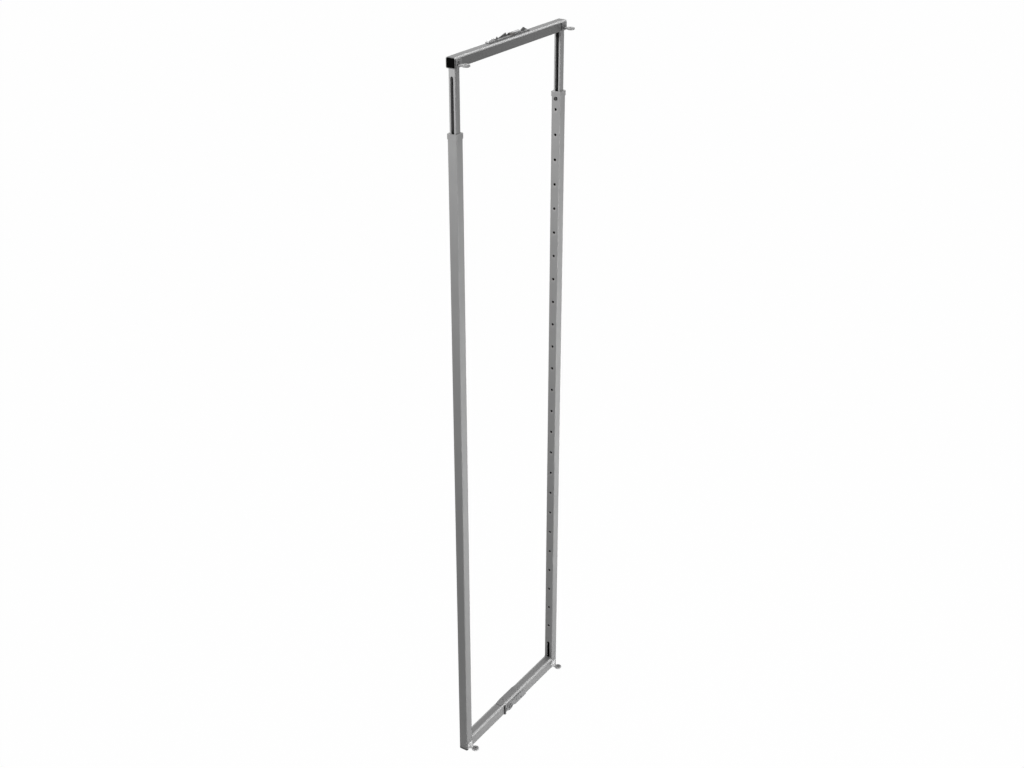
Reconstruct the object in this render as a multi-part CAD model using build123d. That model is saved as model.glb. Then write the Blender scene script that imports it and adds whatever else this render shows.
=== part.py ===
from build123d import *
import os

os.makedirs("parts", exist_ok=True)

# Frame of a pull-out pantry. Millimetres, +Z up, front towards -Y.
# The origin is the middle of the bottom bar's underside.
# The upper frame telescopes in the lower frame and is clamped in the two posts.

# Overall sizes
frame_depth = 465.0
telescope_extension = 184.0
overrun = 1.0
running_gap = 0.05
seat_gap = 0.1
sliding_gap = 0.3

# Outer posts
post_width = 25.0
post_wall = 1.5
post_corner = 2.5
post_top = 1716.0
hole_pitch = 64.0
first_hole_height = 148.0
last_hole_drop = 32.0
hole_radius = 3.5
post_slot_width = 8.0
post_slot_length = 74.0
post_slot_bottom = 16.0

# Foot plugs
foot_head_height = 6.0
foot_spigot_height = 8.0
foot_spigot_wall = 2.0
foot_edge_round = 1.0

# Inner posts
inner_width = 18.0
inner_wall = 1.5
inner_corner = 2.0
inner_length = 600.0
channel_opening = 9.0
inner_slot_width = 8.0
inner_slot_length = 307.0
inner_slot_drop = 18.0

# Bars
top_bar_width = 25.0
top_bar_height = 25.0
bar_wall = 1.5
bar_corner = 3.5
bottom_bar_height = 35.0

# Guide collars and clamps
collar_rim_height = 13.0
collar_flare = 1.5
collar_chamfer = 1.2
collar_sleeve_length = 24.0
collar_lead_in = 1.0
clamp_drop = 5.2
clamp_screw_radius = 3.0
clamp_head_radius = 4.0
clamp_head_height = 2.6
clamp_washer_radius = 4.7
clamp_washer_thickness = 1.0
socket_share = 0.52
socket_depth_share = 0.6
clamp_nut_width = 12.0
clamp_nut_length = 22.0
clamp_nut_thickness = 4.0
clamp_nut_corner = 1.5

# Guide shoes in the lower ends of the inner posts
shoe_head_height = 16.0
shoe_spigot_height = 26.0
shoe_chamfer = 1.5
shoe_screw_height = 14.0

# Small pan screws
screw_radius = 1.9
screw_head_radius = 3.4
screw_head_height = 1.4
screw_length = 8.0
screw_dome = 0.5

# Side tabs
tab_reach = 17.0
tab_neck_width = 12.0
tab_head_radius = 10.0
tab_thickness = 3.0
tab_flange_width = 20.0
tab_flange_thickness = 2.0
tab_flange_rise = 12.0
tab_flange_drop = 4.5
tab_screw_rise = 9.0
lower_tab_height = 8.0
upper_tab_rise = 6.5
rear_lower_tab_shift = -8.0
grommet_hole_radius = 6.0
grommet_lip_radius = 8.0
grommet_lip = 1.2
grommet_bore_radius = 2.75

# Lower coupling
runner_hole_radius = 3.25
runner_hole_spacing = 64.0
coupling_plate_length = 98.0
coupling_plate_width = 20.0
coupling_plate_thickness = 3.5
coupling_plate_shift = -8.5
coupling_ramp_length = 16.0
coupling_edge = 0.8
coupling_screw_spacing = 48.0
side_plate_thickness = 2.5
side_lobe_half_length = 16.5
side_lobe_half_height = 13.0
side_lobe_y = -19.5
side_lobe_z = 13.5
side_tail_top = 25.5
side_tail_bottom = 2.0
side_tail_start = 7.0
side_tail_end = 62.0
side_tail_slant = 13.0
side_tail_lip = 4.0
side_corner = 2.0
side_screw_places = ((12.0, 17.0), (37.0, 9.0))
lower_cam_head_radius = 8.0
lower_cam_head_height = 3.0
cam_shaft_radius = 3.0
cam_shaft_length = 10.0
cam_pin_radius = 2.0
cam_pin_length = 8.0
cam_offset = 0.8
latch_y = -46.0
latch_pivot_z = 27.5
latch_width = 5.5
latch_thickness = 3.0
latch_bottom = 1.0
latch_pin_radius = 1.3
latch_pin_head_radius = 2.2
latch_pin_head_height = 1.0
latch_toe = 1.0

# Upper coupling, places along Y
hook_plate_front = -83.0
hook_plate_rear = 86.0
hook_base_width = 12.0
hook_sheet = 2.0
hook_web_x = -10.0
hook_low = 2.8
hook_mid = 6.5
hook_mid_tail = 4.0
hook_ramp_height = 9.0
hook_peak_height = 8.8
hook_spike_y = -38.0
hook_spike_height = 6.8
hook_spike_half_length = 3.5
hook_ramp_foot_y = -31.0
hook_ramp_y = -4.0
hook_tip_length = 3.0
hook_notch_length = 9.0
hook_notch_height = 4.5
hook_peak_foot_y = 58.0
hook_peak_y = 73.0
hook_tail_y = 84.0
plate_screw_ys = (-50.0, 63.0)
plate_screw_x = -3.0
nose_front = -82.0
nose_rear = -60.0
nose_width = 6.5
nose_rise = 6.0
nose_toe_rise = 3.5
nose_flat_length = 12.0
adjust_block_front = 8.5
adjust_block_length = 13.0
adjust_block_width = 10.0
adjust_block_rise = 5.5
adjust_screw_radius = 2.5
adjust_head_radius = 4.0
adjust_head_depth = 2.5
upper_latch_pivot_y = 48.0
upper_latch_length = 26.0
upper_latch_height = 4.4
upper_latch_width = 6.5
upper_pin_radius = 1.2
upper_pin_head_radius = 2.0
upper_pin_head_height = 0.8

# Places worked out from the sizes
frame_height = post_top + telescope_extension
hole_count = int((post_top - last_hole_drop - first_hole_height) // hole_pitch) + 1
post_y = (frame_depth - post_width) / 2
bar_underside = frame_height - top_bar_height
inner_bottom = bar_underside - inner_length
clamp_height = post_top - clamp_drop
post_inside = post_width - 2 * post_wall
inner_inside = inner_width - 2 * inner_wall
bar_half_length = post_y - post_width / 2
bar_side = post_width / 2
ends = {"front": -1, "rear": 1}


def rectangular_tube(width, height, wall, corner, length):
    outside = RectangleRounded(width, height, corner)
    inside = RectangleRounded(width - 2 * wall, height - 2 * wall, corner - wall)
    return extrude(outside - inside, length)


def rounded_block(width, depth, corner, height):
    return extrude(RectangleRounded(width, depth, corner), height)


def round_along(direction, radius, length):
    # A round bar that starts at the origin and runs along +X or +Y.
    bar = extrude(Circle(radius), length)
    if direction == "X":
        return Rot(0, 90, 0) * bar
    return Rot(-90, 0, 0) * bar


def upright_slot(width, length, depth):
    # A slot cutter that stands along Z and reaches depth to each side along Y.
    slot = extrude(SlotOverall(length, width, rotation=90), depth, both=True)
    return Rot(90, 0, 0) * slot


def facing(end):
    # Posts are drawn for the rear and turned round for the front.
    return Rot(0, 0, 0) if end == "rear" else Rot(0, 0, 180)


def on_post(end):
    return Pos(0, ends[end] * post_y, 0) * facing(end)


def pan_screw():
    # Head above the XY plane, shank below it.
    head = Cylinder(screw_head_radius, screw_head_height, align=(Align.CENTER, Align.CENTER, Align.MIN))
    head = fillet(head.edges().group_by(Axis.Z)[-1], screw_dome)
    shank = Cylinder(screw_radius, screw_length, align=(Align.CENTER, Align.CENTER, Align.MAX))
    return head + shank


def screw_along_minus_x(x, y, z):
    return Pos(x, y, z) * Rot(0, 90, 0) * pan_screw()


def screw_hole_along_x(x, y, z, depth):
    return Pos(x - depth, y, z) * round_along("X", screw_radius + running_gap, depth + overrun)


# Outer posts
def outer_post():
    length = post_top - foot_head_height
    tube = rectangular_tube(post_width, post_width, post_wall, post_corner, length)
    tube = Pos(0, 0, foot_head_height) * tube
    reach = post_wall + overrun
    face = -post_width / 2 - overrun
    cuts = []
    for number in range(hole_count):
        height = first_hole_height + number * hole_pitch
        cuts.append(Pos(0, face, height) * round_along("Y", hole_radius, reach + overrun))
    clamp_hole = round_along("Y", clamp_screw_radius + sliding_gap, reach + overrun)
    cuts.append(Pos(0, face, clamp_height) * clamp_hole)
    slot_middle = post_slot_bottom + post_slot_length / 2
    slot = upright_slot(post_slot_width, post_slot_length, reach)
    cuts.append(Pos(0, -post_width / 2, slot_middle) * slot)
    return tube - cuts


# The rear lower tab stands a little nearer the front and bridges post and bar
lower_tab_ys = {"front": -post_y, "rear": post_y + rear_lower_tab_shift}

for end in ends:
    post = on_post(end) * outer_post()
    height = lower_tab_height + tab_screw_rise
    post -= screw_hole_along_x(bar_side, lower_tab_ys[end], height, post_wall + overrun)
    export_step(post, f"parts/{end}_outer_post.step")


# Foot plugs, pressed into the lower ends of the outer posts
def foot_plug():
    head = rounded_block(post_width, post_width, post_corner, foot_head_height)
    head = fillet(head.edges().group_by(Axis.Z)[0], foot_edge_round)
    width = post_inside - 2 * seat_gap
    corner = post_corner - post_wall
    spigot = rectangular_tube(width, width, foot_spigot_wall, foot_spigot_wall + corner, foot_spigot_height)
    return head + Pos(0, 0, foot_head_height) * spigot


for end in ends:
    export_step(on_post(end) * foot_plug(), f"parts/{end}_foot_plug.step")


# Bottom bar
def bottom_bar():
    tube = rectangular_tube(post_width, bottom_bar_height, bar_wall, bar_corner, 2 * bar_half_length)
    tube = Pos(0, bar_half_length, bottom_bar_height / 2) * Rot(90, 0, 0) * tube
    cuts = []
    for side in (-1, 1):
        runner_hole = extrude(Circle(runner_hole_radius), bar_wall + 2 * overrun)
        cuts.append(Pos(0, side * runner_hole_spacing / 2, -overrun) * runner_hole)
        plate_hole = extrude(Circle(screw_radius + running_gap), bar_wall + 2 * overrun)
        place = Pos(0, coupling_plate_shift + side * coupling_screw_spacing / 2,
                    bottom_bar_height - bar_wall - overrun)
        cuts.append(place * plate_hole)
    for y, z in side_screw_places:
        cuts.append(screw_hole_along_x(bar_side, y, z, bar_wall + overrun))
    cam_hole = round_along("X", cam_shaft_radius + running_gap, bar_wall + 2 * overrun)
    cuts.append(Pos(bar_side - bar_wall - overrun, side_lobe_y, side_lobe_z) * cam_hole)
    pin_hole = round_along("X", latch_pin_radius + running_gap, bar_wall + 2 * overrun)
    cuts.append(Pos(bar_side - bar_wall - overrun, latch_y, latch_pivot_z) * pin_hole)
    return tube - cuts


export_step(bottom_bar(), "parts/bottom_bar.step")


# Guide collars, pushed into the tops of the outer posts
def guide_collar():
    rim_width = post_width + 2 * collar_flare
    rim = rounded_block(rim_width, rim_width, post_corner + collar_flare, collar_rim_height)
    rim = chamfer(rim.edges().group_by(Axis.Z)[-1], collar_chamfer)
    width = post_inside - 2 * seat_gap
    sleeve = rounded_block(width, width, post_corner - post_wall, collar_sleeve_length)
    collar = Pos(0, 0, post_top) * rim
    collar += Pos(0, 0, post_top - collar_sleeve_length) * sleeve
    bore_width = inner_width + 2 * sliding_gap
    bore_height = collar_rim_height + collar_sleeve_length + 2 * overrun
    bore = rounded_block(bore_width, bore_width, inner_corner + sliding_gap, bore_height)
    collar -= Pos(0, 0, post_top - collar_sleeve_length - overrun) * bore
    mouth_width = bore_width + 2 * collar_lead_in
    mouth = loft([
        RectangleRounded(bore_width, bore_width, inner_corner + sliding_gap),
        Pos(0, 0, collar_lead_in) * RectangleRounded(mouth_width, mouth_width, inner_corner + collar_lead_in),
    ])
    collar -= Pos(0, 0, post_top + collar_rim_height - collar_lead_in) * mouth
    window = round_along("Y", clamp_screw_radius + sliding_gap, post_width / 2)
    collar -= Pos(0, -post_width / 2, clamp_height) * window
    return collar


# Clamps: a screw through the inward wall of the outer post and the inner post's slot
def clamp_nut():
    plate = rounded_block(clamp_nut_width, clamp_nut_length, clamp_nut_corner, clamp_nut_thickness)
    plate -= Cylinder(clamp_screw_radius + running_gap, 3 * clamp_nut_thickness)
    face = -inner_width / 2 + inner_wall + sliding_gap
    return Pos(0, face + clamp_nut_thickness, clamp_height) * Rot(90, 0, 0) * plate


def clamp_washer():
    ring = Circle(clamp_washer_radius) - Circle(clamp_screw_radius + sliding_gap)
    washer = extrude(ring, clamp_washer_thickness)
    return Pos(0, -post_width / 2, clamp_height) * Rot(90, 0, 0) * washer


def clamp_screw():
    seat = post_width / 2 + clamp_washer_thickness + seat_gap
    nut_end = inner_width / 2 - inner_wall - sliding_gap - clamp_nut_thickness
    head = Cylinder(clamp_head_radius, clamp_head_height, align=(Align.CENTER, Align.CENTER, Align.MIN))
    head = fillet(head.edges().group_by(Axis.Z)[-1], screw_dome)
    socket_radius = clamp_head_radius * socket_share
    socket_depth = clamp_head_height * socket_depth_share
    socket = extrude(RegularPolygon(socket_radius, 6), socket_depth + overrun)
    head -= Pos(0, 0, clamp_head_height - socket_depth) * socket
    shank = Cylinder(clamp_screw_radius, seat - nut_end, align=(Align.CENTER, Align.CENTER, Align.MAX))
    return Pos(0, -seat, clamp_height) * Rot(90, 0, 0) * (head + shank)


for end in ends:
    export_step(on_post(end) * guide_collar(), f"parts/{end}_guide_collar.step")
    export_step(on_post(end) * clamp_nut(), f"parts/{end}_clamp_nut.step")
    export_step(on_post(end) * clamp_washer(), f"parts/{end}_clamp_washer.step")
    export_step(on_post(end) * clamp_screw(), f"parts/{end}_clamp_screw.step")


# Inner posts: channels whose lips hold the clamp nut on the inward side, slotted on the outward side
def inner_post():
    tube = rectangular_tube(inner_width, inner_width, inner_wall, inner_corner, inner_length)
    tube = Pos(0, 0, inner_bottom) * tube
    reach = inner_wall + overrun
    opening = Box(channel_opening, 2 * reach, inner_length + 2 * overrun,
                  align=(Align.CENTER, Align.CENTER, Align.MIN))
    tube -= Pos(0, -inner_width / 2, inner_bottom - overrun) * opening
    slot_middle = bar_underside - inner_slot_drop - inner_slot_length / 2
    tube -= Pos(0, inner_width / 2, slot_middle) * upright_slot(inner_slot_width, inner_slot_length, reach)
    return tube


for end in ends:
    y = ends[end] * post_y
    post = on_post(end) * inner_post()
    post -= screw_hole_along_x(inner_width / 2, y, inner_bottom + shoe_screw_height, inner_wall + overrun)
    export_step(post, f"parts/{end}_inner_post.step")


# Guide shoes: the head slides in the outer post, the spigot plugs the inner post
def guide_shoe():
    width = post_inside - 2 * sliding_gap
    head = rounded_block(width, width, post_corner - post_wall, shoe_head_height)
    head = chamfer(head.edges().group_by(Axis.Z)[0], shoe_chamfer / 2)
    head = Pos(0, 0, inner_bottom - shoe_head_height) * head
    spigot_width = inner_inside - 2 * seat_gap
    spigot = rounded_block(spigot_width, spigot_width, shoe_chamfer, shoe_spigot_height)
    spigot = Pos(0, 0, inner_bottom) * chamfer(spigot.edges().group_by(Axis.Z)[-1], shoe_chamfer)
    return head + spigot


for end in ends:
    y = ends[end] * post_y
    height = inner_bottom + shoe_screw_height
    shoe = on_post(end) * guide_shoe()
    shoe -= screw_hole_along_x(inner_width / 2, y, height, screw_length + running_gap)
    export_step(shoe, f"parts/{end}_guide_shoe.step")

shoe_screws = [screw_along_minus_x(inner_width / 2, ends[end] * post_y, inner_bottom + shoe_screw_height)
               for end in ends]
export_step(Compound(shoe_screws), "parts/guide_shoe_screws.step")


# Top bar
def top_bar():
    tube = rectangular_tube(top_bar_width, top_bar_height, bar_wall, bar_corner, frame_depth)
    tube = Pos(0, frame_depth / 2, bar_underside + top_bar_height / 2) * Rot(90, 0, 0) * tube
    for y in plate_screw_ys:
        hole = extrude(Circle(screw_radius + running_gap), bar_wall + 2 * overrun)
        tube -= Pos(plate_screw_x, y, frame_height - bar_wall - overrun) * hole
    for side in (-1, 1):
        height = bar_underside + upper_tab_rise + tab_screw_rise
        tube -= screw_hole_along_x(top_bar_width / 2, side * post_y, height, bar_wall + overrun)
    return tube


export_step(top_bar(), "parts/top_bar.step")


# Plugs in the ends of the top bar
cap_length = 9.0
cap_panel_depth = 1.2
cap_rim = 2.5
cap_wall = 1.8


def bar_cap():
    width = top_bar_width - 2 * bar_wall - 2 * seat_gap
    height = top_bar_height - 2 * bar_wall - 2 * seat_gap
    corner = bar_corner - bar_wall
    plug = rounded_block(width, height, corner, cap_length)
    panel = rounded_block(width - 2 * cap_rim, height - 2 * cap_rim, corner, cap_panel_depth + overrun)
    plug -= Pos(0, 0, cap_length - cap_panel_depth) * panel
    hollow_depth = cap_length - cap_panel_depth - cap_wall
    hollow = rounded_block(width - 2 * cap_wall, height - 2 * cap_wall, corner, hollow_depth + overrun)
    plug -= Pos(0, 0, -overrun) * hollow
    return plug


for end in ends:
    turn = Rot(-90, 0, 0) if end == "rear" else Rot(90, 0, 0)
    start = ends[end] * (frame_depth / 2 - cap_length)
    cap = Pos(0, start, frame_height - top_bar_height / 2) * turn * bar_cap()
    export_step(cap, f"parts/{end}_bar_cap.step")


# Side tabs: a flange against post or bar and a tab with a round head
def side_tab():
    # Drawn with the flange's back at X = 0 and the tab's underside at Z = 0.
    head_x = tab_flange_thickness + tab_reach
    neck = Pos(head_x / 2, 0) * Rectangle(head_x, tab_neck_width)
    outline = neck + Pos(head_x, 0) * Circle(tab_head_radius)
    outline -= Pos(head_x, 0) * Circle(grommet_hole_radius)
    plate = extrude(outline, tab_thickness)
    flange_length = tab_flange_drop + tab_thickness + tab_flange_rise
    flange = Box(tab_flange_thickness, tab_flange_width, flange_length,
                 align=(Align.MIN, Align.CENTER, Align.MIN))
    flange = fillet(flange.edges().filter_by(Axis.X), tab_flange_width / 8)
    tab = plate + Pos(0, 0, -tab_flange_drop) * flange
    return tab - screw_hole_along_x(tab_flange_thickness, 0, tab_screw_rise, tab_flange_thickness + overrun)


def grommet():
    # Middle of the groove at Z = 0.
    half = tab_thickness / 2
    body = Cylinder(grommet_hole_radius - running_gap, tab_thickness)
    for side in (-1, 1):
        lip = Cylinder(grommet_lip_radius, grommet_lip)
        body += Pos(0, 0, side * (half + grommet_lip / 2)) * lip
    return body - Cylinder(grommet_bore_radius, tab_thickness + 2 * grommet_lip + 2 * overrun)


tab_head_x = tab_flange_thickness + tab_reach
lower_grommets = []
upper_grommets = []
lower_tab_screws = []
upper_tab_screws = []
for end in ends:
    lower_place = Pos(bar_side, lower_tab_ys[end], lower_tab_height)
    upper_place = Pos(top_bar_width / 2, ends[end] * post_y, bar_underside + upper_tab_rise)
    screw_place = Pos(tab_flange_thickness, 0, tab_screw_rise)
    grommet_place = Pos(tab_head_x, 0, tab_thickness / 2)
    export_step(lower_place * side_tab(), f"parts/{end}_lower_tab.step")
    export_step(upper_place * side_tab(), f"parts/{end}_upper_tab.step")
    lower_grommets.append(lower_place * grommet_place * grommet())
    upper_grommets.append(upper_place * grommet_place * grommet())
    lower_tab_screws.append(lower_place * screw_place * screw_along_minus_x(0, 0, 0))
    upper_tab_screws.append(upper_place * screw_place * screw_along_minus_x(0, 0, 0))

export_step(Compound(lower_grommets), "parts/lower_tab_grommets.step")
export_step(Compound(upper_grommets), "parts/upper_tab_grommets.step")
export_step(Compound(lower_tab_screws), "parts/lower_tab_screws.step")
export_step(Compound(upper_tab_screws), "parts/upper_tab_screws.step")


# Lower coupling plate on top of the bottom bar, ramped at both ends
def coupling_plate():
    half = coupling_plate_length / 2
    profile = Polyline(
        (-half, 0),
        (-half, coupling_edge),
        (-half + coupling_ramp_length, coupling_plate_thickness),
        (half - coupling_ramp_length, coupling_plate_thickness),
        (half, coupling_edge),
        (half, 0),
        close=True,
    )
    plate = extrude(make_face(profile), coupling_plate_width / 2, both=True)
    plate = Rot(0, 90, 0) * Rot(0, 0, 90) * plate
    for side in (-1, 1):
        hole = Cylinder(screw_radius + running_gap, 3 * coupling_plate_thickness)
        plate -= Pos(0, side * coupling_screw_spacing / 2, 0) * hole
    return Pos(0, coupling_plate_shift, bottom_bar_height) * plate


export_step(coupling_plate(), "parts/lower_coupling_plate.step")

coupling_screws = []
for side in (-1, 1):
    place = Pos(0, coupling_plate_shift + side * coupling_screw_spacing / 2,
                bottom_bar_height + coupling_plate_thickness)
    coupling_screws.append(place * pan_screw())
export_step(Compound(coupling_screws), "parts/lower_coupling_screws.step")


# Side plate of the lower coupling: a round lobe for the cam and a slanted tail for two screws
def side_plate():
    tail = Polyline(
        (side_lobe_y, side_tail_top),
        (side_lobe_y, side_lobe_z),
        (side_tail_start, side_tail_bottom),
        (side_tail_end, side_tail_bottom),
        (side_tail_end, side_tail_bottom + side_tail_lip),
        (side_tail_end - side_tail_slant, side_tail_top),
        close=True,
    )
    tail = make_face(tail)
    far_corners = tail.vertices().group_by(Axis.X)[-1] + tail.vertices().group_by(Axis.X)[-2]
    tail = fillet(far_corners, side_corner)
    outline = tail + Pos(side_lobe_y, side_lobe_z) * Ellipse(side_lobe_half_length, side_lobe_half_height)
    outline -= Pos(side_lobe_y, side_lobe_z) * Circle(cam_shaft_radius + running_gap)
    for y, z in side_screw_places:
        outline -= Pos(y, z) * Circle(screw_radius + running_gap)
    plate = extrude(outline, side_plate_thickness)
    return Pos(bar_side, 0, 0) * Rot(0, 90, 0) * Rot(0, 0, 90) * plate


export_step(side_plate(), "parts/lower_side_plate.step")
side_screws = [screw_along_minus_x(bar_side + side_plate_thickness, y, z) for y, z in side_screw_places]
export_step(Compound(side_screws), "parts/lower_side_screws.step")


# Height cam of the lower coupling: a head with a hexagon socket, a shaft and an eccentric pin
def height_cam():
    head = round_along("X", lower_cam_head_radius, lower_cam_head_height)
    head = fillet(head.edges().group_by(Axis.X)[-1], screw_dome)
    socket_depth = lower_cam_head_height * socket_depth_share
    socket = extrude(RegularPolygon(cam_shaft_radius, 6), socket_depth + overrun)
    head -= Pos(lower_cam_head_height - socket_depth, 0, 0) * Rot(0, 90, 0) * socket
    shaft = Pos(-cam_shaft_length, 0, 0) * round_along("X", cam_shaft_radius, cam_shaft_length)
    pin = Pos(-cam_shaft_length - cam_pin_length, 0, cam_offset)
    pin *= round_along("X", cam_pin_radius, cam_pin_length)
    return head + shaft + pin


lower_cam_x = bar_side + side_plate_thickness + seat_gap
export_step(Pos(lower_cam_x, side_lobe_y, side_lobe_z) * height_cam(), "parts/lower_height_cam.step")


# Release latch of the lower coupling, on a headed pin in the bar's side wall
def lower_latch():
    height = latch_pivot_z - latch_bottom
    body = Pos(0, -height / 2) * Rectangle(latch_width, height)
    body += Circle(latch_width / 2)
    body += Pos(latch_toe, -height + latch_toe) * Rectangle(latch_width, 2 * latch_toe)
    body -= Circle(latch_pin_radius + running_gap)
    lever = extrude(body, latch_thickness)
    return Rot(0, 90, 0) * Rot(0, 0, 90) * lever


latch_x = bar_side + sliding_gap
export_step(Pos(latch_x, latch_y, latch_pivot_z) * lower_latch(), "parts/lower_latch_lever.step")


def headed_pin(radius, head_radius, head_height, grip):
    # The head's underside is at X = 0 and the pin runs towards -X.
    head = round_along("X", head_radius, head_height)
    head = fillet(head.edges().group_by(Axis.X)[-1], head_height / 3)
    shaft = Pos(-grip, 0, 0) * round_along("X", radius, grip)
    return head + shaft


latch_grip = latch_thickness + 2 * sliding_gap
latch_pin = headed_pin(latch_pin_radius, latch_pin_head_radius, latch_pin_head_height, latch_grip + bar_wall)
export_step(Pos(bar_side + latch_grip, latch_y, latch_pivot_z) * latch_pin, "parts/lower_latch_pin.step")


# Upper hook plate: a base on the top bar and an upright web with a ramp hook and a peaked hook
upper_latch_rise = hook_sheet + sliding_gap + upper_latch_height / 2
web_face = hook_web_x + hook_sheet
adjust_screw_y = adjust_block_front + adjust_block_length / 2
adjust_screw_x = web_face + adjust_block_width / 2


def hook_plate():
    length = hook_plate_rear - hook_plate_front
    middle = (hook_plate_rear + hook_plate_front) / 2
    base = Box(hook_base_width, length, hook_sheet, align=(Align.MIN, Align.CENTER, Align.MIN))
    base = fillet(base.edges().filter_by(Axis.Z).group_by(Axis.X)[-1], hook_sheet * 2)
    base = Pos(hook_web_x, middle, 0) * base
    for y in plate_screw_ys:
        base -= Pos(plate_screw_x, y, 0) * Cylinder(screw_radius + running_gap, 3 * hook_sheet)
    ramp_end = hook_ramp_y + hook_tip_length
    profile = Polyline(
        (hook_plate_front, 0),
        (hook_plate_front, hook_low),
        (hook_spike_y - hook_spike_half_length, hook_low),
        (hook_spike_y, hook_spike_height),
        (hook_spike_y + hook_spike_half_length, hook_low),
        (hook_ramp_foot_y, hook_low),
        (hook_ramp_y, hook_ramp_height),
        (ramp_end, hook_ramp_height),
        (ramp_end, hook_notch_height),
        (ramp_end + hook_notch_length, hook_notch_height),
        (ramp_end + hook_notch_length, hook_mid),
        (upper_latch_pivot_y + hook_mid_tail, hook_mid),
        (upper_latch_pivot_y + 2 * hook_mid_tail, hook_low),
        (hook_peak_foot_y, hook_low),
        (hook_peak_y, hook_peak_height),
        (hook_tail_y, hook_low),
        (hook_plate_rear, hook_low),
        (hook_plate_rear, 0),
        close=True,
    )
    web = extrude(make_face(profile), hook_sheet)
    web = Pos(hook_web_x, 0, 0) * Rot(0, 90, 0) * Rot(0, 0, 90) * web
    web -= Pos(hook_web_x - overrun, upper_latch_pivot_y, upper_latch_rise) * round_along(
        "X", upper_pin_radius + running_gap, hook_sheet + 2 * overrun)
    plate = base + web
    adjust_hole = Cylinder(adjust_screw_radius + running_gap, 3 * hook_sheet)
    return Pos(0, 0, frame_height) * (plate - Pos(adjust_screw_x, adjust_screw_y, 0) * adjust_hole)


export_step(hook_plate(), "parts/upper_hook_plate.step")
plate_screws = [Pos(plate_screw_x, y, frame_height + hook_sheet) * pan_screw() for y in plate_screw_ys]
export_step(Compound(plate_screws), "parts/upper_plate_screws.step")


# Guide nose, a light wedge clipped beside the front of the web
def guide_nose():
    profile = Polyline(
        (nose_front, 0),
        (nose_front, nose_toe_rise),
        (nose_rear - nose_flat_length, nose_rise),
        (nose_rear, nose_rise),
        (nose_rear, 0),
        close=True,
    )
    nose = extrude(make_face(profile), nose_width)
    nose = Rot(0, 90, 0) * Rot(0, 0, 90) * nose
    return Pos(web_face, 0, frame_height + hook_sheet) * nose


export_step(guide_nose(), "parts/upper_guide_nose.step")


# Height adjuster of the upper coupling: a block with a screw standing in it
def adjust_block():
    block = Box(adjust_block_width, adjust_block_length, adjust_block_rise,
                align=(Align.MIN, Align.MIN, Align.MIN))
    block = Pos(web_face, adjust_block_front, frame_height + hook_sheet) * block
    block = chamfer(block.edges().group_by(Axis.Z)[-1], adjust_block_rise / 8)
    middle = Pos(adjust_screw_x, adjust_screw_y, frame_height + hook_sheet + adjust_block_rise)
    block -= middle * Cylinder(adjust_screw_radius + running_gap, 3 * adjust_block_rise)
    seat = Cylinder(adjust_head_radius + running_gap, 2 * adjust_head_depth)
    return block - middle * seat


def adjust_screw():
    # The top of the head is at Z = 0.
    rise = adjust_head_depth - seat_gap
    head = Cylinder(adjust_head_radius, rise, align=(Align.CENTER, Align.CENTER, Align.MAX))
    socket_depth = rise * socket_depth_share
    head -= Pos(0, 0, -socket_depth) * extrude(RegularPolygon(adjust_screw_radius, 6), socket_depth + overrun)
    length = adjust_block_rise + hook_sheet - seat_gap
    shank = Cylinder(adjust_screw_radius, length - rise, align=(Align.CENTER, Align.CENTER, Align.MAX))
    return head + Pos(0, 0, -rise) * shank


export_step(adjust_block(), "parts/upper_adjust_block.step")
adjust_top = frame_height + hook_sheet + adjust_block_rise
export_step(Pos(adjust_screw_x, adjust_screw_y, adjust_top) * adjust_screw(), "parts/upper_adjust_screw.step")


# Latch lever of the upper coupling, on a headed pin in the web
def upper_latch():
    arm = Pos(-upper_latch_length / 2, 0) * Rectangle(upper_latch_length, upper_latch_height)
    outline = arm + Circle(upper_latch_height / 2)
    outline = fillet(outline.vertices().group_by(Axis.X)[0], upper_latch_height / 4)
    outline -= Circle(upper_pin_radius + running_gap)
    lever = extrude(outline, upper_latch_width)
    return Rot(0, 90, 0) * Rot(0, 0, 90) * lever


upper_latch_z = frame_height + upper_latch_rise
upper_lever = Pos(web_face + sliding_gap, upper_latch_pivot_y, upper_latch_z) * upper_latch()
export_step(upper_lever, "parts/upper_latch_lever.step")
upper_grip = upper_latch_width + 2 * sliding_gap
upper_pin_length = upper_grip + hook_sheet
upper_pin = headed_pin(upper_pin_radius, upper_pin_head_radius, upper_pin_head_height, upper_pin_length)
export_step(Pos(web_face + upper_grip, upper_latch_pivot_y, upper_latch_z) * upper_pin,
            "parts/upper_latch_pin.step")
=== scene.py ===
import bmesh
import bpy
from math import cos, pi, radians, sin
from mathutils import Matrix, Vector


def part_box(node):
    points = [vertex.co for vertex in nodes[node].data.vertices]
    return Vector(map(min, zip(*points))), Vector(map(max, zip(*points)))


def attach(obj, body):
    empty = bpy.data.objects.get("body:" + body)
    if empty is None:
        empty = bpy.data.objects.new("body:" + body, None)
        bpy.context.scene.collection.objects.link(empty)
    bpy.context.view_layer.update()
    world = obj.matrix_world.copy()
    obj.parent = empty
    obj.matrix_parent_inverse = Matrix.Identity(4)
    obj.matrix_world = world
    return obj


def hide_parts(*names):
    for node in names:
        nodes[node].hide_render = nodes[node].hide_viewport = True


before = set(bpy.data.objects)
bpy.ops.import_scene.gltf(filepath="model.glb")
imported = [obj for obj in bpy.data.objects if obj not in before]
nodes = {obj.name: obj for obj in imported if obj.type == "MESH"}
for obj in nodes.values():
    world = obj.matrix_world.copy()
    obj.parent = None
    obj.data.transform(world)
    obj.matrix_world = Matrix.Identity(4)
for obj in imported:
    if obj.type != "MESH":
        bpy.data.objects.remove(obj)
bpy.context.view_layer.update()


# Studio. A catalogue picture on plain white: the viewer stands at the frame's front
# right, above its top bar, and looks down on it. The floor is as white as the air.
scene = bpy.context.scene
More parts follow.
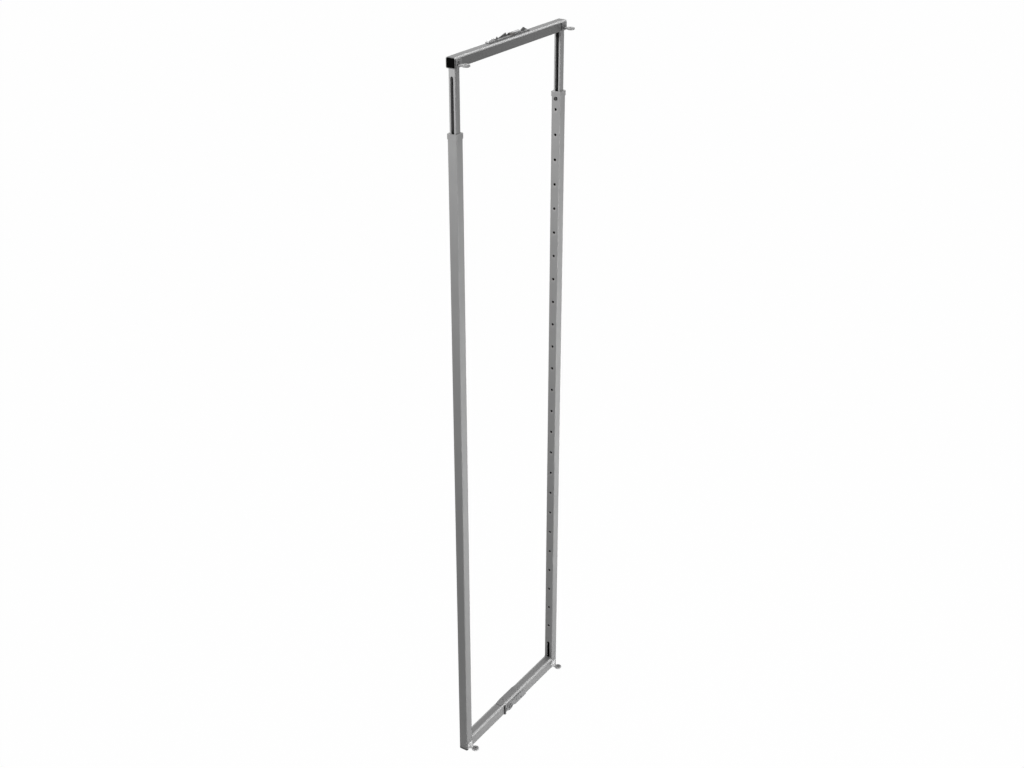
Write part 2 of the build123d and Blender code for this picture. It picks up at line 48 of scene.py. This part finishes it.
scene.view_settings.view_transform = "Standard"
eye_position = (1.8073, -2.7652, 2.6363)
eye_turn = radians(33.06)
eye_dip = radians(26.09)
lens_length = 50.72
film_width = 36.0
floor_reach = 30.0
floor_drop = 0.0006
floor_level = 0.9
floor_shaded_share = 0.01
air_level = 0.21

camera_data = bpy.data.cameras.new("studio_camera")
camera_data.lens = lens_length
camera_data.sensor_width = film_width
camera_data.clip_end = 2 * floor_reach
camera = bpy.data.objects.new("studio_camera", camera_data)
camera.location = eye_position
camera.rotation_euler = (pi / 2 - eye_dip, 0, eye_turn)
scene.collection.objects.link(camera)
scene.camera = camera


class Field:
    """A socket in a tree of shader nodes, so that a pattern is written as sums and products."""

    def __init__(self, tree, socket=None):
        self.tree = tree
        self.socket = socket

    def node(self, kind, settings, inputs, output=0):
        made = self.tree.nodes.new(kind)
        for name, value in settings.items():
            setattr(made, name, value)
        for name, value in inputs.items():
            if isinstance(value, Field):
                self.tree.links.new(value.socket, made.inputs[name])
            else:
                made.inputs[name].default_value = value
        return Field(self.tree, made.outputs[output])

    def math(self, operation, first, second=0.0):
        return self.node("ShaderNodeMath", {"operation": operation}, {0: first, 1: second})

    def __add__(self, other):
        return self.math("ADD", self, other)

    def __radd__(self, other):
        return self.math("ADD", other, self)

    def __sub__(self, other):
        return self.math("SUBTRACT", self, other)

    def __rsub__(self, other):
        return self.math("SUBTRACT", other, self)

    def __mul__(self, other):
        return self.math("MULTIPLY", self, other)

    def __rmul__(self, other):
        return self.math("MULTIPLY", other, self)


def studio_white(surface, shaded_share):
    # White to the eye and in reflections, apart from the shaded share, which keeps the shadow.
    field = Field(surface.node_tree)
    rays = [field.node("ShaderNodeLightPath", {}, {}, name)
            for name in ("Is Camera Ray", "Is Glossy Ray", "Is Transmission Ray")]
    seen = field.math("MINIMUM", rays[0] + rays[1] + rays[2], 1.0)
    return field, seen * (1.0 - shaded_share)


def grey(level, warmth=0.0):
    return (level * (1 + warmth), level, level * (1 - warmth), 1)


world = bpy.data.worlds.new("studio_air")
scene.world = world
world.use_nodes = True
air = world.node_tree.nodes["Background"]
air.inputs["Color"].default_value = grey(1.0)
field, seen = studio_white(world, 0.0)
strength = seen * (1.0 - air_level) + air_level
world.node_tree.links.new(strength.socket, air.inputs["Strength"])

floor_mesh = bpy.data.meshes.new("studio_floor")
corners = [(-1, -1), (1, -1), (1, 1), (-1, 1)]
floor_mesh.from_pydata([(x * floor_reach, y * floor_reach, -floor_drop) for x, y in corners],
                       [], [(0, 1, 2, 3)])
floor = bpy.data.objects.new("studio_floor", floor_mesh)
scene.collection.objects.link(floor)
floor_paint = bpy.data.materials.new("studio_floor_paint")
floor_paint.use_nodes = True
floor_tree = floor_paint.node_tree
floor_tree.nodes.remove(floor_tree.nodes["Principled BSDF"])
field, seen = studio_white(floor_paint, floor_shaded_share)
matt = field.node("ShaderNodeBsdfDiffuse", {}, {"Color": grey(floor_level)})
glow = field.node("ShaderNodeEmission", {}, {"Color": grey(1.0), "Strength": 1.0})
mixed = field.node("ShaderNodeMixShader", {}, {0: seen, 1: matt, 2: glow})
floor_tree.links.new(mixed.socket, floor_tree.nodes["Material Output"].inputs["Surface"])
floor_mesh.materials.append(floor_paint)


def soft_box(name, place, target, size, spread, power, lean=(0, 0, 1)):
    # A cloth lamp with a grid in front, which keeps its light near its axis. spread is in
    # degrees, power in watts, and lean is the direction that its second side follows.
    light = bpy.data.lights.new(name, "AREA")
    light.shape = "RECTANGLE"
    light.size, light.size_y = size
    light.spread = radians(spread)
    light.energy = power
    lamp = bpy.data.objects.new(name, light)
    lamp.location = place
    back = (Vector(place) - Vector(target)).normalized()
    across = Vector(lean).cross(back).normalized()
    lamp.rotation_euler = Matrix((across, back.cross(across), back)).transposed().to_euler()
    scene.collection.objects.link(lamp)


soft_box("front_soft_box", place=(-0.9, -3.6, 3.0), target=(0, 0, 2.1), size=(0.9, 0.8),
         spread=44, power=8.8)
soft_box("side_soft_box", place=(3.2, 0.1, 0.81), target=(0, 0.1, 0.8), size=(0.8, 1.6),
         spread=33.5, power=6.0)
soft_box("rear_soft_box", place=(1.3, 2.4, 2.6), target=(0, 0, 1.1), size=(0.45, 2.7),
         spread=100, power=6.0, lean=(-1.3, 0.5, 2.2))
soft_box("top_soft_box", place=(-0.2, 0.2, 3.1), target=(0, 0, 1.9), size=(0.6, 0.8),
         spread=90, power=5.2)


# Outer posts and bottom bar. Steel tube, punched and welded, then sprayed with a fine
# silver lacquer. The hooks of the trays rub it a little bare just under each hole.
first_hole = 0.148
hole_pitch = 0.064
rub_length = 0.012
rub_half_width = 0.0045
rub_skin = 0.0004
rub_cut = 0.53
# Painted shade: the insides of the outer posts are painted dark.
outer_hollow_half = 0.0112
outer_hollow_painted_shade = 0.04
# A highlight is painted along the bottom bar's upper edges, this wide.
bottom_bar_edge_width = 0.005


def surface_field(material, **constants):
    # Sets the shader's own sockets and gives its coordinates, measured in metres on the object.
    material.use_nodes = True
    tree = material.node_tree
    shader = tree.nodes["Principled BSDF"]
    for name, value in constants.items():
        shader.inputs[name.replace("_", " ")].default_value = value
    field = Field(tree)
    return field, field.node("ShaderNodeTexCoord", {}, {}, "Object"), shader


def noise(field, place, scale, detail=2.0, rough=0.5):
    inputs = {"Vector": place, "Scale": scale, "Detail": detail, "Roughness": rough}
    return field.node("ShaderNodeTexNoise", {}, inputs)


def stretched(field, place, scales):
    return field.node("ShaderNodeMapping", {}, {"Vector": place, "Scale": scales})


def blend_colors(field, share, first, second):
    return field.node("ShaderNodeMix", {"data_type": "RGBA"}, {0: share, 6: first, 7: second}, 2)


def connect(field, shader, base, rough, height, depth):
    bump = field.node("ShaderNodeBump", {}, {"Height": height, "Distance": depth})
    for name, value in (("Base Color", base), ("Roughness", rough), ("Normal", bump)):
        field.tree.links.new(value.socket, shader.inputs[name])


def coordinate(field, place, axis):
    return field.node("ShaderNodeSeparateXYZ", {}, {"Vector": place}, axis)


def near(field, place, axis, middle, half):
    # 1 within a distance of a plane, 0 beyond it.
    distance = field.math("ABSOLUTE", coordinate(field, place, axis) - middle)
    return field.math("LESS_THAN", distance, half)


def tube_inside(field, place, post, half):
    # 1 inside an upright square tube whose axis stands at y = post, 0 on its outer faces.
    return near(field, place, "X", 0.0, half) * near(field, place, "Y", post, half)


def rubbed(field, place, face):
    # Strongest at the holes in the face at y = face, and gone a rub_length below their centres.
    height = coordinate(field, place, "Z")
    over_rub = field.math("FLOORED_MODULO", height - (first_hole - rub_length), hole_pitch)
    in_rub = field.math("LESS_THAN", over_rub, rub_length)
    fade = in_rub * over_rub * (1 / rub_length)
    scuffs = noise(field, stretched(field, place, (2200, 2200, 260)), 1.0, 3, 0.6)
    on_face = near(field, place, "Y", face, rub_skin)
    patch = fade * on_face * near(field, place, "X", 0.0, rub_half_width)
    return patch * field.math("GREATER_THAN", scuffs + 0.12 * fade, rub_cut)


def highlit_edges(field, place, bar, width):
    # 1 along both upper edges of a bar, where a highlight is painted, 0 elsewhere.
    low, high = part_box(bar)
    from_middle = field.math("ABSOLUTE", coordinate(field, place, "X"))
    outer = field.math("GREATER_THAN", from_middle, high.x - width)
    return outer * field.math("GREATER_THAN", coordinate(field, place, "Z"), high.z - width)


def silver_lacquer(name, dark, light, tube=None, face=None, bar=None, edge_highlight_tone=0.0, edge_width=0.0):
    # tube and face are a post's axis and its hole row's face. Inside the tube the colour is
    # painted dark, as painted shade. bar is a bar along whose upper edges a highlight is
    # painted, of the given tone and as wide as edge_width.
    material = bpy.data.materials.new(name)
    field, place, shader = surface_field(material, Metallic=0.2, IOR=1.45)
    flakes = noise(field, place, 2600, 1)
    clouds = noise(field, place, 14, 3)
    peel = noise(field, place, 420, 2)
    base = blend_colors(field, 0.4 * flakes + 0.6 * clouds, grey(dark), grey(light))
    if tube is not None:
        bare_steel = grey(0.5, 0.02)
        base = blend_colors(field, 0.7 * rubbed(field, place, face), base, bare_steel)
        # Painted shade: the inside of the tube is painted dark.
        hollow = tube_inside(field, place, tube, outer_hollow_half)
        base = blend_colors(field, hollow, base, grey(outer_hollow_painted_shade))
    if bar is not None:
        # Painted highlight: the upper edges of the bar are painted pale.
        edge_highlight = highlit_edges(field, place, bar, edge_width) * (0.8 + 0.4 * clouds)
        base = blend_colors(field, edge_highlight, base, grey(edge_highlight_tone))
    rough = 0.38 + 0.12 * clouds + 0.05 * flakes
    connect(field, shader, base, rough, height=0.2 * flakes + peel, depth=0.000012)
    return material


def wear(names, material):
    # Gives CAD nodes their finish.
    for name in names:
        nodes[name].data.materials.clear()
        nodes[name].data.materials.append(material)


for post in ("front_outer_post", "rear_outer_post"):
    low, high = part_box(post)
    inward_face = high.y if post == "front_outer_post" else low.y
    wear([post], silver_lacquer(post + "_lacquer", dark=0.25, light=0.33,
                                tube=(low.y + high.y) / 2, face=inward_face))
wear(["bottom_bar"], silver_lacquer("bottom_bar_lacquer", dark=0.26, light=0.34,
                                    bar="bottom_bar", edge_highlight_tone=0.50,
                                    edge_width=bottom_bar_edge_width))


# Top bar. A square steel tube, welded over the inner posts and sprayed with a darker grey
# lacquer. A highlight is painted along its rounded upper edges.
top_bar_edge_width = 0.0035
wear(["top_bar"], silver_lacquer("top_bar_lacquer", dark=0.11, light=0.15, bar="top_bar",
                                 edge_highlight_tone=0.40, edge_width=top_bar_edge_width))


# Inner posts. Channels of drawn steel that slide in the outer posts. The lips of the
# channel hold the clamp nut, and sliding has left fine upright lines on the satin faces.
# The broad sides are painted a little darker than the faces with the lips, as painted
# shade.
shaded_side_tones = (0.19, 0.28)
lit_lip_tones = (0.29, 0.41)
lip_half_width = 0.0082
# Painted shade: the inside of the channel is painted dark.
channel_hollow_half = 0.0077
channel_hollow_painted_shade = 0.06


def drawn_steel(name, tube):
    material = bpy.data.materials.new(name)
    field, place, shader = surface_field(material, Metallic=0.15)
    lines = noise(field, stretched(field, place, (1500, 1500, 9)), 1.0, 3, 0.6)
    clouds = noise(field, place, 18, 3)
    drawn = 0.7 * lines + 0.3 * clouds
    sides = blend_colors(field, drawn, *map(grey, shaded_side_tones))
    lips = blend_colors(field, drawn, *map(grey, lit_lip_tones))
    # Painted shade and light: the sides are painted darker than the faces with the lips.
    base = blend_colors(field, near(field, place, "X", 0.0, lip_half_width), sides, lips)
    # Painted shade: the inside of the channel is painted dark.
    hollow = tube_inside(field, place, tube, channel_hollow_half)
    base = blend_colors(field, hollow, base, grey(channel_hollow_painted_shade))
    rough = 0.32 + 0.16 * lines + 0.06 * clouds
    connect(field, shader, base, rough, height=lines, depth=0.000015)
    return material


for post in ("front_inner_post", "rear_inner_post"):
    low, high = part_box(post)
    wear([post], drawn_steel(post + "_satin", (low.y + high.y) / 2))


# Guide collars. Light grey moulded nylon, pressed into the tops of the outer posts. The
# rim lies over the tube's end, and the sleeve below it guides the inner post.
def moulded(name, level, rough, grain=0.00006, warmth=0.0, gloss=0.5):
    # level is the plastic's tone, and grain is the depth of its mould's texture.
    material = bpy.data.materials.new(name)
    field, place, shader = surface_field(material, IOR=1.47, Specular_IOR_Level=gloss)
    texture = noise(field, place, 1300, 2)
    flow = noise(field, place, 55, 3)
    dark, light = grey(0.9 * level, warmth), grey(1.1 * level, warmth)
    base = blend_colors(field, 0.4 * texture + 0.6 * flow, dark, light)
    connect(field, shader, base, rough - 0.08 + 0.16 * flow, height=texture, depth=grain)
    return material


wear(["front_guide_collar", "rear_guide_collar"],
     moulded("collar_nylon", level=0.30, rough=0.36))


# Caps and plugs. Matt polyethylene, black in the ends of the top bar and dark grey in the
# feet of the posts, and pushed into the tubes. The guide shoes are as black as the caps.
wear(["front_bar_cap", "rear_bar_cap", "front_guide_shoe", "rear_guide_shoe"],
     moulded("plug_plastic", level=0.0015, rough=0.75, grain=0.0001, gloss=0.02))
wear(["front_foot_plug", "rear_foot_plug"],
     moulded("foot_plastic", level=0.10, rough=0.6, grain=0.0001))


# Clamps. Blackened screws with a hexagon socket and blackened washers, on zinc-plated
# nuts that stand inside the channels of the inner posts, behind their lips.
def zinc(name, dark, light, rough, metal):
    material = bpy.data.materials.new(name)
    field, place, shader = surface_field(material, Metallic=metal)
    spangle = field.node("ShaderNodeTexVoronoi", {"feature": "SMOOTH_F1"},
                         {"Vector": place, "Scale": 420})
    haze = noise(field, place, 90, 3)
    base = blend_colors(field, 0.5 * spangle + 0.5 * haze, grey(dark), grey(light, -0.01))
    connect(field, shader, base, rough - 0.06 + 0.2 * haze, height=spangle, depth=0.000008)
    return material


fastener_zinc = zinc("fastener_zinc", dark=0.22, light=0.42, rough=0.36, metal=0.9)
black_oxide = zinc("black_oxide", dark=0.03, light=0.06, rough=0.5, metal=0.5)
wear(["front_clamp_screw", "rear_clamp_screw", "front_clamp_washer", "rear_clamp_washer"],
     black_oxide)
wear(["front_clamp_nut", "rear_clamp_nut"], fastener_zinc)


# Side tabs. Sheet steel, bent to a flange that is screwed to the tube's side, with a
# rubber grommet in each round end. The upper pair is sprayed darker than the lower pair.
bend_reach = 0.0035
tab_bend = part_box("front_upper_tab")[0].x + bend_reach


def tab_lacquer_and_painted_light(name, flange, tongue):
    # flange and tongue are the tones on either side of the bend. They hold painted light as
    # well as the lacquer's tone.
    material = bpy.data.materials.new(name)
    field, place, shader = surface_field(material, Metallic=0.2, IOR=1.45)
    clouds = noise(field, place, 160, 3)
    peel = noise(field, place, 900, 2)
    past_bend = field.math("GREATER_THAN", coordinate(field, place, "X"), tab_bend)
    plain = blend_colors(field, past_bend, grey(0.88 * flange), grey(0.88 * tongue))
    cloudy = blend_colors(field, past_bend, grey(1.12 * flange), grey(1.12 * tongue))
    base = blend_colors(field, clouds, plain, cloudy)
    connect(field, shader, base, 0.4 + 0.15 * clouds, height=peel, depth=0.00001)
    return material


# Painted light in these tones: the upper tongue, which faces up, is painted lighter than its
# flange, the upper flange is painted lighter than the bar to lift the tongue's shadow on it, and
# the lower tongue is painted lighter to lift the shade that it lies in.
lower_tab_paint_and_light = tab_lacquer_and_painted_light("lower_tab_lacquer_and_painted_light", flange=0.78, tongue=0.80)
upper_tab_paint_and_light = tab_lacquer_and_painted_light("upper_tab_lacquer_and_painted_light", flange=0.22, tongue=0.27)
wear(["front_lower_tab", "rear_lower_tab"], lower_tab_paint_and_light)
wear(["front_upper_tab", "rear_upper_tab"], upper_tab_paint_and_light)
wear(["lower_tab_grommets"],
     moulded("lower_grommet_rubber", level=0.32, rough=0.62, grain=0.00008))
wear(["upper_tab_grommets"],
     moulded("upper_grommet_rubber", level=0.30, rough=0.62, grain=0.00008))


# Lower coupling. A ramped plate on the bar, lacquered with it, and a zinc-plated plate on
# the bar's side, with a height cam and a black release latch of moulded plastic on a pin.
wear(["lower_coupling_plate"], silver_lacquer("coupling_lacquer", dark=0.24, light=0.34))
wear(["lower_side_plate"], zinc("side_plate_zinc", dark=0.24, light=0.36, rough=0.5, metal=0.5))
wear(["lower_height_cam"], zinc("cam_zinc", dark=0.16, light=0.26, rough=0.5, metal=0.5))
wear(["lower_latch_lever"], moulded("latch_plastic", level=0.035, rough=0.4))
wear(["lower_latch_pin"], fastener_zinc)


# Upper coupling. A steel hook plate whose standing web is dark and whose base is sprayed
# with the bar, a light plastic nose and lever, and a dark block with a zinc-plated screw.
web_tones = (0.08, 0.125)
base_tones = (0.10, 0.15)
base_spray_height = 0.0021


def hook_plate_finish(base_top):
    material = bpy.data.materials.new("hook_plate_steel")
    field, place, shader = surface_field(material, Metallic=0.3)
    grain = noise(field, place, 900, 3, 0.6)
    clouds = noise(field, place, 60, 3)
    mixed = 0.5 * grain + 0.5 * clouds
    web = blend_colors(field, mixed, *map(grey, web_tones))
    base = blend_colors(field, mixed, *map(grey, base_tones))
    standing = field.math("GREATER_THAN", coordinate(field, place, "Z"), base_top)
    tones = blend_colors(field, standing, base, web)
    connect(field, shader, tones, 0.42 + 0.16 * clouds, height=grain, depth=0.00001)
    return material


hook_plate_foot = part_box("upper_hook_plate")[0].z
wear(["upper_hook_plate"], hook_plate_finish(hook_plate_foot + base_spray_height))
wear(["upper_guide_nose"], moulded("nose_plastic", level=0.62, rough=0.4))
wear(["upper_latch_lever"], moulded("lever_plastic", level=0.36, rough=0.4))
wear(["upper_adjust_block"], moulded("block_plastic", level=0.095, rough=0.45, warmth=0.07))
wear(["upper_adjust_screw", "upper_latch_pin"], fastener_zinc)


# Pan screws. Small steel screws with a pressed cross recess, zinc-plated, blackened or
# sprayed with what they hold. The two of each pair are driven home to different turns.
head_reach = 0.0034
head_rise = 0.0014
points_around = 48
dull_zinc = zinc("dull_zinc", dark=0.18, light=0.30, rough=0.5, metal=0.5)


def pan_screw_mesh():
    # The head stands on the XY plane, and its recess is a cross of four arms. Each ring has
    # its height and its radius as shares of the head's.
    rings = ((0.0, 1.0), (0.35, 1.0), (0.72, 0.93), (0.92, 0.78), (1.0, 0.60))
    arm_out, arm_half, recess = 0.42 * head_reach, 0.10 * head_reach, 0.4 * head_rise
    floor_share = 0.6
    mesh = bmesh.new()
    levels = []
    for rise, share in rings:
        radius, height = head_reach * share, rise * head_rise
        turns = [2 * pi * k / points_around for k in range(points_around)]
        levels.append([mesh.verts.new((radius * cos(t), radius * sin(t), height)) for t in turns])
    for lower, upper in zip(levels, levels[1:]):
        for k in range(points_around):
            after = (k + 1) % points_around
            mesh.faces.new((lower[k], lower[after], upper[after], upper[k]))
    arm = [(arm_out, -arm_half), (arm_out, arm_half), (arm_half, arm_half)]
    cross = []
    for quarter in range(4):
        turn = Matrix.Rotation(quarter * pi / 2, 2)
        cross += [turn @ Vector(point) for point in arm]
    top = [mesh.verts.new((p.x, p.y, head_rise)) for p in cross]
    base = [mesh.verts.new((floor_share * p.x, floor_share * p.y, head_rise - recess))
            for p in cross]
    for k in range(len(cross)):
        after = (k + 1) % len(cross)
        mesh.faces.new((base[k], top[k], top[after], base[after]))
    mesh.faces.new(base)
    outer = [mesh.edges.get((levels[-1][k], levels[-1][(k + 1) % points_around]))
             for k in range(points_around)]
    inner = [mesh.edges.get((top[k], top[(k + 1) % len(cross)])) for k in range(len(cross))]
    bmesh.ops.bridge_loops(mesh, edges=outer + inner)
    mesh.faces.new(list(reversed(levels[0])))
    bmesh.ops.recalc_face_normals(mesh, faces=mesh.faces)
    data = bpy.data.meshes.new("pan_screw_master")
    mesh.to_mesh(data)
    mesh.free()
    return data


def screw_tree():
    # Sets a copy of the master screw on every point, turned about its own axis at random.
    tree = bpy.data.node_groups.new("screws_on_points", "GeometryNodeTree")
    face = tree.interface
    face.new_socket("Points", in_out="INPUT", socket_type="NodeSocketGeometry")
    face.new_socket("Screw", in_out="INPUT", socket_type="NodeSocketObject")
    face.new_socket("Direction", in_out="INPUT", socket_type="NodeSocketVector")
    face.new_socket("Finish", in_out="INPUT", socket_type="NodeSocketMaterial")
    face.new_socket("Screws", in_out="OUTPUT", socket_type="NodeSocketGeometry")
    inlet = tree.nodes.new("NodeGroupInput")
    outlet = tree.nodes.new("NodeGroupOutput")
    master = tree.nodes.new("GeometryNodeObjectInfo")
    aim = tree.nodes.new("FunctionNodeAlignEulerToVector")
    aim.axis = "Z"
    chance = tree.nodes.new("FunctionNodeRandomValue")
    chance.data_type = "FLOAT"
    chance.inputs["Max"].default_value = pi / 2
    chance.inputs["Seed"].default_value = 4
    spin = tree.nodes.new("ShaderNodeCombineXYZ")
    place = tree.nodes.new("GeometryNodeInstanceOnPoints")
    turn = tree.nodes.new("GeometryNodeRotateInstances")
    real = tree.nodes.new("GeometryNodeRealizeInstances")
    coat = tree.nodes.new("GeometryNodeSetMaterial")
    link = tree.links.new
    link(inlet.outputs["Screw"], master.inputs["Object"])
    link(inlet.outputs["Direction"], aim.inputs["Vector"])
    link(inlet.outputs["Points"], place.inputs["Points"])
    link(master.outputs["Geometry"], place.inputs["Instance"])
    link(aim.outputs["Rotation"], place.inputs["Rotation"])
    link(chance.outputs["Value"], spin.inputs["Z"])
    link(place.outputs["Instances"], turn.inputs["Instances"])
    link(spin.outputs["Vector"], turn.inputs["Rotation"])
    link(turn.outputs["Instances"], real.inputs["Geometry"])
    link(real.outputs["Geometry"], coat.inputs["Geometry"])
    link(inlet.outputs["Finish"], coat.inputs["Material"])
    link(coat.outputs["Geometry"], outlet.inputs["Screws"])
    return tree


def evaluated(name, data, tree, settings):
    # Runs a tree on a mesh and gives the result as a plain object.
    holder = bpy.data.objects.new(name, data)
    scene.collection.objects.link(holder)
    modifier = holder.modifiers.new("tree", "NODES")
    modifier.node_group = tree
    for item in tree.interface.items_tree:
        if item.in_out == "INPUT" and item.name in settings:
            modifier[item.identifier] = settings[item.name]
    bpy.context.view_layer.update()
    ready = holder.evaluated_get(bpy.context.evaluated_depsgraph_get())
    result = bpy.data.meshes.new_from_object(ready)
    holder.modifiers.remove(modifier)
    holder.data = result
    return holder


screw_master = bpy.data.objects.new("pan_screw_master", pan_screw_mesh())
screws_on_points = screw_tree()
# The tab screws take the tabs' tones, painted light included.
screw_groups = (("lower_tab_screws", "lower_frame", "X", lower_tab_paint_and_light),
                ("lower_side_screws", "lower_frame", "X", dull_zinc),
                ("lower_coupling_screws", "lower_frame", "Z", dull_zinc),
                ("upper_tab_screws", "upper_frame", "X", upper_tab_paint_and_light),
                ("guide_shoe_screws", "upper_frame", "X", dull_zinc),
                ("upper_plate_screws", "upper_frame", "Z", black_oxide))
for node, body, facing, finish in screw_groups:
    low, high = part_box(node)
    near_y, far_y = low.y + head_reach, high.y - head_reach
    if facing == "X":
        direction = Vector((1, 0, 0))
        seats = [(high.x - head_rise, near_y, high.z - head_reach),
                 (high.x - head_rise, far_y, low.z + head_reach)]
    else:
        direction = Vector((0, 0, 1))
        middle = (low.x + high.x) / 2
        seats = [(middle, near_y, high.z - head_rise), (middle, far_y, high.z - head_rise)]
    points = bpy.data.meshes.new(node)
    points.from_pydata(seats, [], [])
    heads = evaluated(node + "_heads", points, screws_on_points,
                      {"Screw": screw_master, "Direction": direction, "Finish": finish})
    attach(heads, body)
    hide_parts(node)
bpy.data.objects.remove(screw_master)


# Weld beads. The bars are welded to the posts along three sides, and the beads' ripples
# are left as they cooled, under the lacquer.
bead_radius = 0.0011
bead_sides = 10
ripple_share = 0.12
ripple_length = 0.0013
ripple_step = 0.00025
edge_sink = 0.0006
bottom_start = 0.004
top_start = 0.002


def weld_tree():
    # Sweeps a rippled round bead along a path.
    tree = bpy.data.node_groups.new("weld_on_path", "GeometryNodeTree")
    face = tree.interface
    face.new_socket("Path", in_out="INPUT", socket_type="NodeSocketGeometry")
    face.new_socket("Radius", in_out="INPUT", socket_type="NodeSocketFloat")
    face.new_socket("Ripple", in_out="INPUT", socket_type="NodeSocketFloat")
    face.new_socket("Finish", in_out="INPUT", socket_type="NodeSocketMaterial")
    face.new_socket("Weld", in_out="OUTPUT", socket_type="NodeSocketGeometry")
    inlet = tree.nodes.new("NodeGroupInput")
    outlet = tree.nodes.new("NodeGroupOutput")
    curve = tree.nodes.new("GeometryNodeMeshToCurve")
    sample = tree.nodes.new("GeometryNodeResampleCurve")
    sample.mode = "LENGTH"
    sample.inputs["Length"].default_value = ripple_step
    along = tree.nodes.new("GeometryNodeSplineParameter")
    wave = tree.nodes.new("ShaderNodeMath")
    wave.operation = "MULTIPLY"
    wave.inputs[1].default_value = 2 * pi / ripple_length
    swell = tree.nodes.new("ShaderNodeMath")
    swell.operation = "SINE"
    scaled = tree.nodes.new("ShaderNodeMath")
    scaled.operation = "MULTIPLY_ADD"
    ring = tree.nodes.new("GeometryNodeCurvePrimitiveCircle")
    ring.inputs["Resolution"].default_value = bead_sides
    ring.inputs["Radius"].default_value = 1.0
    shell = tree.nodes.new("GeometryNodeCurveToMesh")
    shell.inputs["Fill Caps"].default_value = True
    real = tree.nodes.new("GeometryNodeRealizeInstances")
    coat = tree.nodes.new("GeometryNodeSetMaterial")
    link = tree.links.new
    link(inlet.outputs["Path"], curve.inputs["Mesh"])
    link(curve.outputs["Curve"], sample.inputs["Curve"])
    link(along.outputs["Length"], wave.inputs[0])
    link(wave.outputs[0], swell.inputs[0])
    link(swell.outputs[0], scaled.inputs[0])
    link(inlet.outputs["Ripple"], scaled.inputs[1])
    link(inlet.outputs["Radius"], scaled.inputs[2])
    link(sample.outputs["Curve"], shell.inputs["Curve"])
    link(ring.outputs["Curve"], shell.inputs["Profile Curve"])
    link(scaled.outputs[0], shell.inputs["Scale"])
    link(shell.outputs["Mesh"], real.inputs["Geometry"])
    link(real.outputs["Geometry"], coat.inputs["Geometry"])
    link(inlet.outputs["Finish"], coat.inputs["Material"])
    link(coat.outputs["Geometry"], outlet.inputs["Weld"])
    return tree


weld_on_path = weld_tree()
weld_lacquer = silver_lacquer("weld_lacquer", dark=0.22, light=0.32)


def weld(name, paths, body):
    # Lays one bead along each path, all in one piece on one body.
    data = bpy.data.meshes.new(name)
    points = []
    edges = []
    for path in paths:
        edges += [(len(points) + k, len(points) + k + 1) for k in range(len(path) - 1)]
        points += path
    data.from_pydata(points, edges, [])
    bead = evaluated(name, data, weld_on_path,
                     {"Radius": bead_radius, "Ripple": ripple_share * bead_radius,
                      "Finish": weld_lacquer})
    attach(bead, body)


bar_low, bar_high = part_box("bottom_bar")
near_x, far_x = bar_high.x - edge_sink, bar_low.x + edge_sink
foot, crown = bar_low.z + bottom_start, bar_high.z - edge_sink
bottom_paths = []
for y in (bar_low.y, bar_high.y):
    bottom_paths.append([(near_x, y, foot), (near_x, y, crown),
                         (far_x, y, crown), (far_x, y, foot)])
weld("bottom_welds", bottom_paths, "lower_frame")

top_paths = []
for post in ("front_inner_post", "rear_inner_post"):
    low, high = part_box(post)
    near_x = high.x - top_start
    top_paths.append([(near_x, low.y, high.z), (low.x, low.y, high.z),
                      (low.x, high.y, high.z), (near_x, high.y, high.z)])
weld("top_welds", top_paths, "upper_frame")
